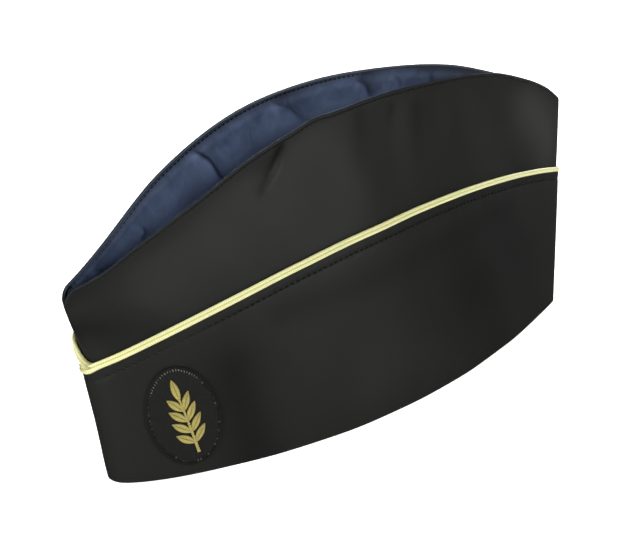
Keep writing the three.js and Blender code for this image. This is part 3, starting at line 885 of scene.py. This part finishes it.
def soutache(suffix, side):
    """The braid: a thin cord over a thicker one, wrapped in threads that slant towards each other."""

    def route(past_nose):
        """Side, station and height of the braid's middle. Below nought it has crossed the nose."""
        crossed = past_nose < 0
        station = np.abs(past_nose) - 1
        return np.where(crossed, -side, side), station, braid_height(side, station, crossed)

    fine = np.linspace(-1, 1, 4 * STEPS.braid)
    past_nose = np.where(fine < 0, -BRAID_TAILS[side] / TOP.half_length, 2) * fine**2
    on_side, station, middle = route(past_nose)
    fine_run = run_length(cloth_wall(on_side, station, middle, BRAID_INSET))
    run = np.linspace(0, fine_run[-1], STEPS.braid)[:, None]
    on_side, station, middle = route(np.interp(run, fine_run, past_nose))
    from_end = np.minimum(run / BRAID_END_ROUND.front, (run[-1] - run) / BRAID_END_ROUND.rear)
    from_end = np.clip(from_end, BRAID_END_ROUND.least, 1)
    size = np.interp(station, *BRAID_TAPER.T) * np.sqrt(1 - (1 - from_end) ** 2)
    # Soil over the front half, and painted shade at the front end
    unsoiled_unshaded = (1 - ramp(station, *BRAID_SOIL)) * (1 - bell(run, *BRAID_END_SHADE))
    share = (np.arange(RING.braid // 2) + 0.5) / (RING.braid // 2)
    # Painted shade between the thread turns and between the two cords
    ridge = np.cos(2 * np.pi * (run / BRAID.thread_pitch - BRAID.slant * share))
    between = ramp(np.minimum(share, 1 - share), *BRAID_NOTCH)
    plied = unsoiled_unshaded * (1 - between) * (1 - BRAID_THREAD_LOSS * (1 - ridge))
    up, out, lit = [], [], []
    for radius, above in ((BRAID.upper, 1), (BRAID.lower, -1)):
        cord_middle = above * BRAID.spacing * radius / (BRAID.upper + BRAID.lower)
        notch = math.asin(abs(cord_middle) / radius)
        turn = -notch + (np.pi + 2 * notch) * share
        thick = radius * (1 + BRAID.thread_relief * ridge)
        # Painted shade on the lower cord's underside
        below = ramp(share, *BRAID_UNDERSIDE) * (above < 0)
        order = slice(None, None, above)
        up.append((cord_middle + above * thick * np.sin(turn))[:, order])
        out.append((thick * np.cos(turn))[:, order])
        lit.append((plied * (1 - below))[:, order])
    height = middle + size * np.concatenate(up, axis=1)
    skin = loft(cloth_wall(on_side, station, height, BRAID_INSET - size * np.concatenate(out, axis=1)))
    look = dict(tone=np.concatenate(lit, axis=1), sharp=THREAD_SHARP)
    add_piece(f"soutache_{suffix}", skin, SOUTACHE, "gold_braid", f"piping_{suffix}", **look)


def stitch_row(name, side, stitch, line=edge_height):
    """A row of machine stitches a drop below a line: short threads, each arched out of the cloth."""

    def places(station, inset):
        return cloth_wall(side, station, line(side, station) - stitch.drop, inset)

    fine = np.linspace(-STITCH_END, STITCH_END, FINE.stitch)
    run = run_length(places(fine, stitch.inset))
    starts = np.arange(stitch.pitch, run[-1] - stitch.pitch, stitch.pitch)
    along = starts[:, None] + stitch.length * np.linspace(0, 1, STEPS.stitch)
    station = np.interp(along, run, fine)
    arch = stitch.arch * stitch.radius * np.sin(np.linspace(0, np.pi, STEPS.stitch))
    path = places(station, stitch.inset - arch - ramp(station, *STITCH_SINK, stitch.sink))
    skin = loft(tube(path, stitch.radius * rounded_ends(STEPS.stitch), side))
    worn = stitch.wear * front_fade(path[..., 0])
    tone = np.repeat(stitch.tone + (1 - stitch.tone) * worn, RING.thread)
    add_piece(name, skin, BLACK_THREAD, "black_cloth", tone=tone, sharp=THREAD_SHARP)


def gusset_painted_light(x, sunk, below_lip):
    """Painted light and shade of the satin, apart from its creases: light down in the trough, shade along
    its seams and in steps along it.
    """
    deep_front = ramp(sunk, *TROUGH_DEEP_PAINTED_LIGHT) * ramp(x, *TROUGH_FRONT)
    seam_reach = GUSSET_SEAM_SHADE.reach - ramp(x, *GUSSET_SEAM_SHADE.rear_loss)
    seam = GUSSET_SEAM_SHADE.tone * (1 - ramp(below_lip, 0, seam_reach))
    return ramp(sunk, *TROUGH_PAINTED_LIGHT) + deep_front + seam + sum(ramp(x, *shade) for shade in GUSSET_SHADES)


def gusset():
    """The blue top: a sheet that hangs in a trough from welt to welt, with folds and creases."""
    station = stations(STEPS.gusset, reach=GUSSET_END)[:, None]
    even = np.linspace(1, -1, LEVELS.gusset)
    turn = np.pi / 2 * (1 - np.sign(even) * np.abs(even) ** CROWDING.gusset)
    side = np.where(turn < np.pi / 2, LEFT, RIGHT)
    sunk = np.sin(turn)
    tucked = ramp(sunk, 0, GUSSET_LIP.tuck)
    valley = VALLEY.front + (VALLEY.rear - VALLEY.front) * (station + 1) / 2
    lip = edge_height(side, station) - GUSSET_LIP.drop - bell(station + 1, *GUSSET_TIP)

    def face(cloth):
        """Points and tone of a face, a given way below the upper one."""
        inset = GUSSET_LIP.inset + (GUSSET_INSET - GUSSET_LIP.inset) * tucked - cloth
        top_x, half_width = outline(TOP, station, inset)
        z = lip + (valley - cloth - lip) * sunk
        rise = z / top_height(station)
        x = top_x + front_bow(station, rise) + GUSSET_LEAN * (1 - rise) * at_front(station)
        tone = gusset_painted_light(x, sunk, lip - z)
        folds = np.zeros_like(z)
        for fold in GUSSET_FOLDS:
            leaning = bell(x - fold.x - fold.lean * sunk, fold.along, fold.depth)
            folds += (side == fold.side) * leaning * np.abs(np.sin(2 * turn))
        for crease in GUSSET_CREASES:
            folds += (side == crease.side) * crease_depth(x, z, crease) * tucked
            tone += (side == crease.side) * crease_painted_shading(x, z, crease)
        open_width = half_width * np.abs(np.cos(turn))
        y = side * np.maximum(open_width - np.minimum(folds, open_width / 2), 0)
        return np.stack([x, y, z], -1), tone

    upper, upper_tone = face(0.0)
    lower, lower_tone = face(GUSSET_CLOTH)
    steps = np.linalg.norm(np.diff(upper, axis=1, prepend=upper[:, :1]), axis=-1)
    places = cloth_places(run_length(upper[:, LEVELS.gusset // 4]), np.cumsum(steps, axis=1))
    skin = loft(both_faces(upper, lower))
    tones = both_faces(upper_tone, lower_tone)
    satin = add_piece("gusset_satin", skin, SATIN, "blue_satin", "crown_gusset", places, tones)


# The badge

def along_to_x():
    """Share of a short step along the curtain that runs along X, at the badge."""
    station = station_at(PATCH.x + np.array([-1.0, 1.0]), PATCH.z, CURTAIN_OUT)
    step = np.diff(wall(LEFT, station, PATCH.z, CURTAIN_OUT), axis=0)[0]
    return step[0] / np.linalg.norm(step)


ALONG_TO_X = along_to_x()


def on_badge(along, up, out):
    """Points along, up and out from the badge's middle, laid on the curtain."""
    along, up, out = np.broadcast_arrays(along, up, out)
    cos, sin = math.cos(PATCH.lean), math.sin(PATCH.lean)
    x = PATCH.x + (along * cos - up * sin) * ALONG_TO_X
    height = PATCH.z + along * sin + up * cos
    inset = CURTAIN_OUT - SEAM_GAP - out
    return cloth_wall(LEFT, station_at(x, height, inset), height, inset)


def oval(turn, shrink):
    """How far along and up an oval's points are. It lies a given distance inside the patch's edge."""
    return (PATCH.short / 2 - shrink) * np.sin(turn), (PATCH.long / 2 - shrink) * np.cos(turn)


def even_turns(shrink, count):
    """Turns round an oval that are evenly spaced along it, and its length."""
    fine = np.linspace(0, 2 * np.pi, FINE.oval)
    run = run_length(np.stack(oval(fine, shrink), -1))
    return np.interp(np.arange(count) / count * run[-1], run, fine), run[-1]


def badge_patch():
    """The oval of felt: slightly domed in the middle, with its edge pressed under the overlock."""
    turn = ring_turns(STEPS.felt)
    shrink = np.linspace(FELT_INMOST * PATCH.short / 2, 0.0, LEVELS.felt)[:, None]
    edge_round = np.sqrt(np.clip(shrink / FELT_ROUND.reach, FELT_ROUND.least, 1))
    lift = PATCH.thickness * (1 - ramp(shrink, *FELT_FALL)) * edge_round
    front = on_badge(*oval(turn, shrink), lift)
    back = on_badge(*oval(turn, shrink[::-1]), 0.0)
    add_piece("badge_felt", loft(np.concatenate([front, back])), FELT, "badge_cloth", "badge_patch")


def badge_overlock():
    """Black thread wound closely over the patch's edge."""
    turn, length = even_turns(OVERLOCK.inset, STEPS.overlock)
    windings = round(length / OVERLOCK.thread_pitch)
    ring = ring_turns(RING.overlock)
    phase = windings * np.arange(STEPS.overlock)[:, None] / STEPS.overlock * 2 * np.pi
    ridge = np.cos(phase + OVERLOCK.slant * np.sin(ring))
    radius = OVERLOCK.radius * (1 + OVERLOCK.relief * ridge)
    shrink = OVERLOCK.inset + radius * np.cos(ring)
    out = np.maximum(OVERLOCK.lift * PATCH.thickness + radius * np.sin(ring), 0)
    skin = loft(on_badge(*oval(turn[:, None], shrink), out), closed=True)
    # Painted shade between the turns
    tone = 1 - OVERLOCK.dark * (1 - ridge)
    add_piece("badge_overlock", skin, OVERLOCK_THREAD, "badge_cloth", tone=tone, sharp=THREAD_SHARP)


def badge_tacking():
    """Grey tacking stitches over the patch's edge: raised with a painted highlight along the top, sunk
    and in painted shade elsewhere.
    """
    turn, length = even_turns(TACK.inset, TACK.count)
    step = np.linspace(-1, 1, STEPS.stitch)
    each = (TACK.count, 1)
    reach = TACK.reach * random.uniform(*TACK_REACHES, each)
    slant = random.uniform(*TACK_SLANTS, each)
    shrink = TACK.inset + reach * step + random.normal(0, TACK_SCATTER, each)
    along = turn[:, None] + slant * step * reach * 2 * np.pi / length
    # Where the oval turns upwards the stitches are raised and lit
    shown = ramp(np.cos(turn - TACK_TURN), *TACK_RAISED_AND_LIT)[:, None]
    lift = TACK.lift - TACK.sunk * (1 - shown) - TACK.tilt * step - TACK.arch * step**2
    radius = TACK.radius * random.uniform(*TACK_RADII, each) * rounded_ends(STEPS.stitch)
    skin = loft(tube(on_badge(*oval(along, shrink), lift), radius, LEFT))
    # Painted highlight on the stitches along the top, and mostly painted shade on the rest
    plain = shown * random.uniform(*TACK_TONES, each)
    dull = (1 - shown) * random.uniform(0, 1, each) ** TACK_DULL.power * TACK_DULL.tone
    tone = np.repeat(plain + dull, STEPS.stitch * RING.thread)
    add_piece("badge_tacking", skin, GREY_THREAD, "badge_cloth", tone=tone, sharp=THREAD_SHARP)


def leaf_edge(span, count, length):
    """How far forward and aside a leaf's edge is, over a span of its length from root to tip."""
    share = np.linspace(*span, count)[:, None]
    mixed = 2 * share * (1 - share)
    return length * (mixed * LEAF.belly + share**2), LEAF.width * mixed


def leaf(root, angle, length):
    """A padded leaf in satin stitch, at an angle from straight up: threads slant out from its midrib."""
    base = PATCH.thickness - LEAF.sunk
    cos, sin = math.cos(angle), math.sin(angle)

    def laid(forward, aside, out):
        """Points forward from the leaf's root, aside from its midrib and out, laid on the curtain."""
        return on_badge(forward * sin + aside * cos, root + forward * cos - aside * sin, out)

    forward, aside = leaf_edge(PAD.span, STEPS.pad, length)
    ring = ring_turns(RING.pad)
    pad_out = base + PAD.height * np.maximum(np.sin(ring), PAD.foot)
    pad = loft(laid(forward, PAD.width * aside * np.cos(ring), pad_out))
    parts = [(pad, np.full(len(pad[0]), PAD.tone))]
    count = round(length / SATIN_STITCH.pitch)
    forward, aside = leaf_edge(SATIN_STITCH.span, count, length)
    start = np.maximum(forward - SATIN_STITCH.slant * aside, SATIN_STITCH.first)
    step = np.linspace(0, 1, STEPS.stitch)
    arch = PAD.height * np.sqrt(np.clip(1 - (SATIN_STITCH.fall * step) ** 2, 0, 1))
    radius = SATIN_STITCH.radius * rounded_ends(STEPS.stitch)
    shine = np.sin(np.pi * np.clip(SHINE.start + SHINE.span * step, 0, 1))
    shine = SHINE.least + (1 - SHINE.least) * shine
    for half in (-1, 1):
        along = start + (forward - start) * step
        path = laid(along, half * aside * step, base + SATIN_STITCH.lift + arch)
        tone = shine * random.uniform(*SHINE_SHARES, (count, 1))
        parts.append((loft(tube(path, radius, LEFT)), np.repeat(tone, RING.thread)))
    return parts


def stem():
    """The sprig's stem: two strands twisted round each other, thinner towards the tip."""
    up = np.linspace(STEM.bottom, STEM.top, STEPS.stem)
    radius = STEM.radius * np.linspace(1, STEM.tip, STEPS.stem)
    sway = STEM.sway * radius
    parts = []
    for strand in (0, np.pi):
        twist = 2 * np.pi * up / STEM.twist + strand
        path = on_badge(sway * np.cos(twist), up, PATCH.thickness + STEM.lift + sway * np.sin(twist))
        # Painted shade where each strand turns under the other
        tone = 1 - STEM.dark * (1 - np.sin(twist))
        parts.append((loft(tube(path, radius, LEFT, RING.stem)), np.repeat(tone, RING.stem)))
    return parts


def badge_sprig():
    """The embroidered sprig: a stem with pairs of leaves and one leaf at its tip."""
    parts = stem()
    for row in LEAVES:
        for flank in (-1, 1) if row.angle else (1,):
            parts += leaf(row.root, flank * math.radians(row.angle), row.length)
    skin = joined([skin for skin, _ in parts])
    look = dict(tone=np.concatenate([lit for _, lit in parts]), sharp=THREAD_SHARP)
    add_piece("sprig_embroidery", skin, GOLD_THREAD, "gold_thread", "badge_emblem", **look)


def build_cap():
    for suffix, side in SIDES.items():
        crown_wall(suffix, side)
        curtain(suffix, side)
        welt(suffix, side)
        soutache(suffix, side)
        stitch_row(f"curtain_topstitch_{suffix}", side, TOPSTITCH, topstitch_line)
        stitch_row(f"welt_seam_{suffix}", side, SEAM_STITCH)
        stitch_row(f"gusset_seam_{suffix}", side, GUSSET_STITCH)
    gusset()
    badge_patch()
    badge_overlock()
    badge_tacking()
    badge_sprig()


# Studio: floor, light and camera, in metres and watts

FLOOR_RADIUS = 9.0
FLOOR_SIDES = 64
FLOOR_GLOW = 0.9
BACKDROP_HEIGHT = 9.0
WORLD_STRENGTH = 0.02
# Soft boxes, with the direction that they stand in: azimuth from the cap's left and height, in degrees
BOX = Row(distance=1.8, width=0.6, height=0.4)
LIGHTS = rows(
    "name azimuth elevation power",
    ("key_box", 0, 25, 16.5),
    ("sheen_box", 25, 4, 8.8),
    ("nose_box", -60, 4, 13.5),
    ("front_box", -85, 4, 17.5),
    ("rear_box", 100, 4, 16.0),
    ("overhead_box", 180, 84, 13.0),
    ("right_rear_box", 150, 20, 12.0),
    ("right_front_box", 215, 20, 12.0),
)
# The camera stands at a distance from a target, both in millimetres
CAMERA = Row(azimuth=-39.88, elevation=19.25, roll=4.5, distance=873.2, target=(-16.05, 0.0, 55.0))
IMAGE_WIDTH = 626
FOCAL_PIXELS = 2000
SENSOR_WIDTH = 36.0


def direction(azimuth, elevation):
    """Unit vector towards an azimuth (0 is -Y, 90 is +X) and an elevation, both in degrees."""
    a, e = math.radians(azimuth), math.radians(elevation)
    return Vector((math.sin(a) * math.cos(e), -math.cos(a) * math.cos(e), math.sin(e)))


def add_stage():
    """A round white floor, and a white wall round it that only the camera sees."""
    board = studio_floor()
    turn = np.linspace(0, 2 * np.pi, FLOOR_SIDES, endpoint=False)
    rim = np.stack([FLOOR_RADIUS * np.cos(turn), FLOOR_RADIUS * np.sin(turn), 0 * turn], -1)
    head = rim + (0, 0, BACKDROP_HEIGHT)
    here = np.arange(FLOOR_SIDES)
    beside = (here + 1) % FLOOR_SIDES
    around = np.stack([here, beside, beside + FLOOR_SIDES, here + FLOOR_SIDES], -1)
    shapes = {"floor": (rim, here[None]), "backdrop": (np.concatenate([rim, head]), around)}
    for name, (points, faces) in shapes.items():
        mesh = bpy.data.meshes.new(name)
        mesh.from_pydata(points.tolist(), [], faces.tolist())
        mesh.materials.append(board)
        piece = add_object(name, mesh)
        piece.visible_glossy = False
        piece.visible_diffuse = name == "floor"
        piece.visible_shadow = name == "floor"


def add_lights():
    world = bpy.data.worlds.new("studio")
    bpy.context.scene.world = world
    world.use_nodes = True
    background = world.node_tree.nodes["Background"]
    background.inputs["Color"].default_value = linear("#ffffff")
    background.inputs["Strength"].default_value = WORLD_STRENGTH
    middle = (cad_box[0] + cad_box[1]) / 2
    for row in LIGHTS:
        lamp = bpy.data.lights.new(row.name, "AREA")
        lamp.shape = "RECTANGLE"
        lamp.size = BOX.width
        lamp.size_y = BOX.height
        lamp.energy = row.power
        light = add_object(row.name, lamp)
        towards = direction(row.azimuth, row.elevation)
        light.location = middle + towards * BOX.distance
        light.rotation_euler = (-towards).to_track_quat("-Z", "Y").to_euler()
        light.visible_camera = False


def add_camera():
    back = direction(CAMERA.azimuth, CAMERA.elevation)
    level = direction(CAMERA.azimuth + 90, 0)
    upright = back.cross(level)
    roll = math.radians(CAMERA.roll)
    right = level * math.cos(roll) - upright * math.sin(roll)
    up = level * math.sin(roll) + upright * math.cos(roll)
    lens = bpy.data.cameras.new("camera")
    lens.sensor_width = SENSOR_WIDTH
    lens.lens = SENSOR_WIDTH * FOCAL_PIXELS / IMAGE_WIDTH
    camera = add_object("camera", lens)
    place = (Vector(CAMERA.target) + back * CAMERA.distance) * MM
    turned = Matrix((right, up, back)).transposed().to_4x4()
    camera.matrix_world = Matrix.Translation(place) @ turned
    bpy.context.scene.camera = camera


build_cap()
add_stage()
add_lights()
add_camera()
bpy.context.scene.view_settings.view_transform = "Standard"
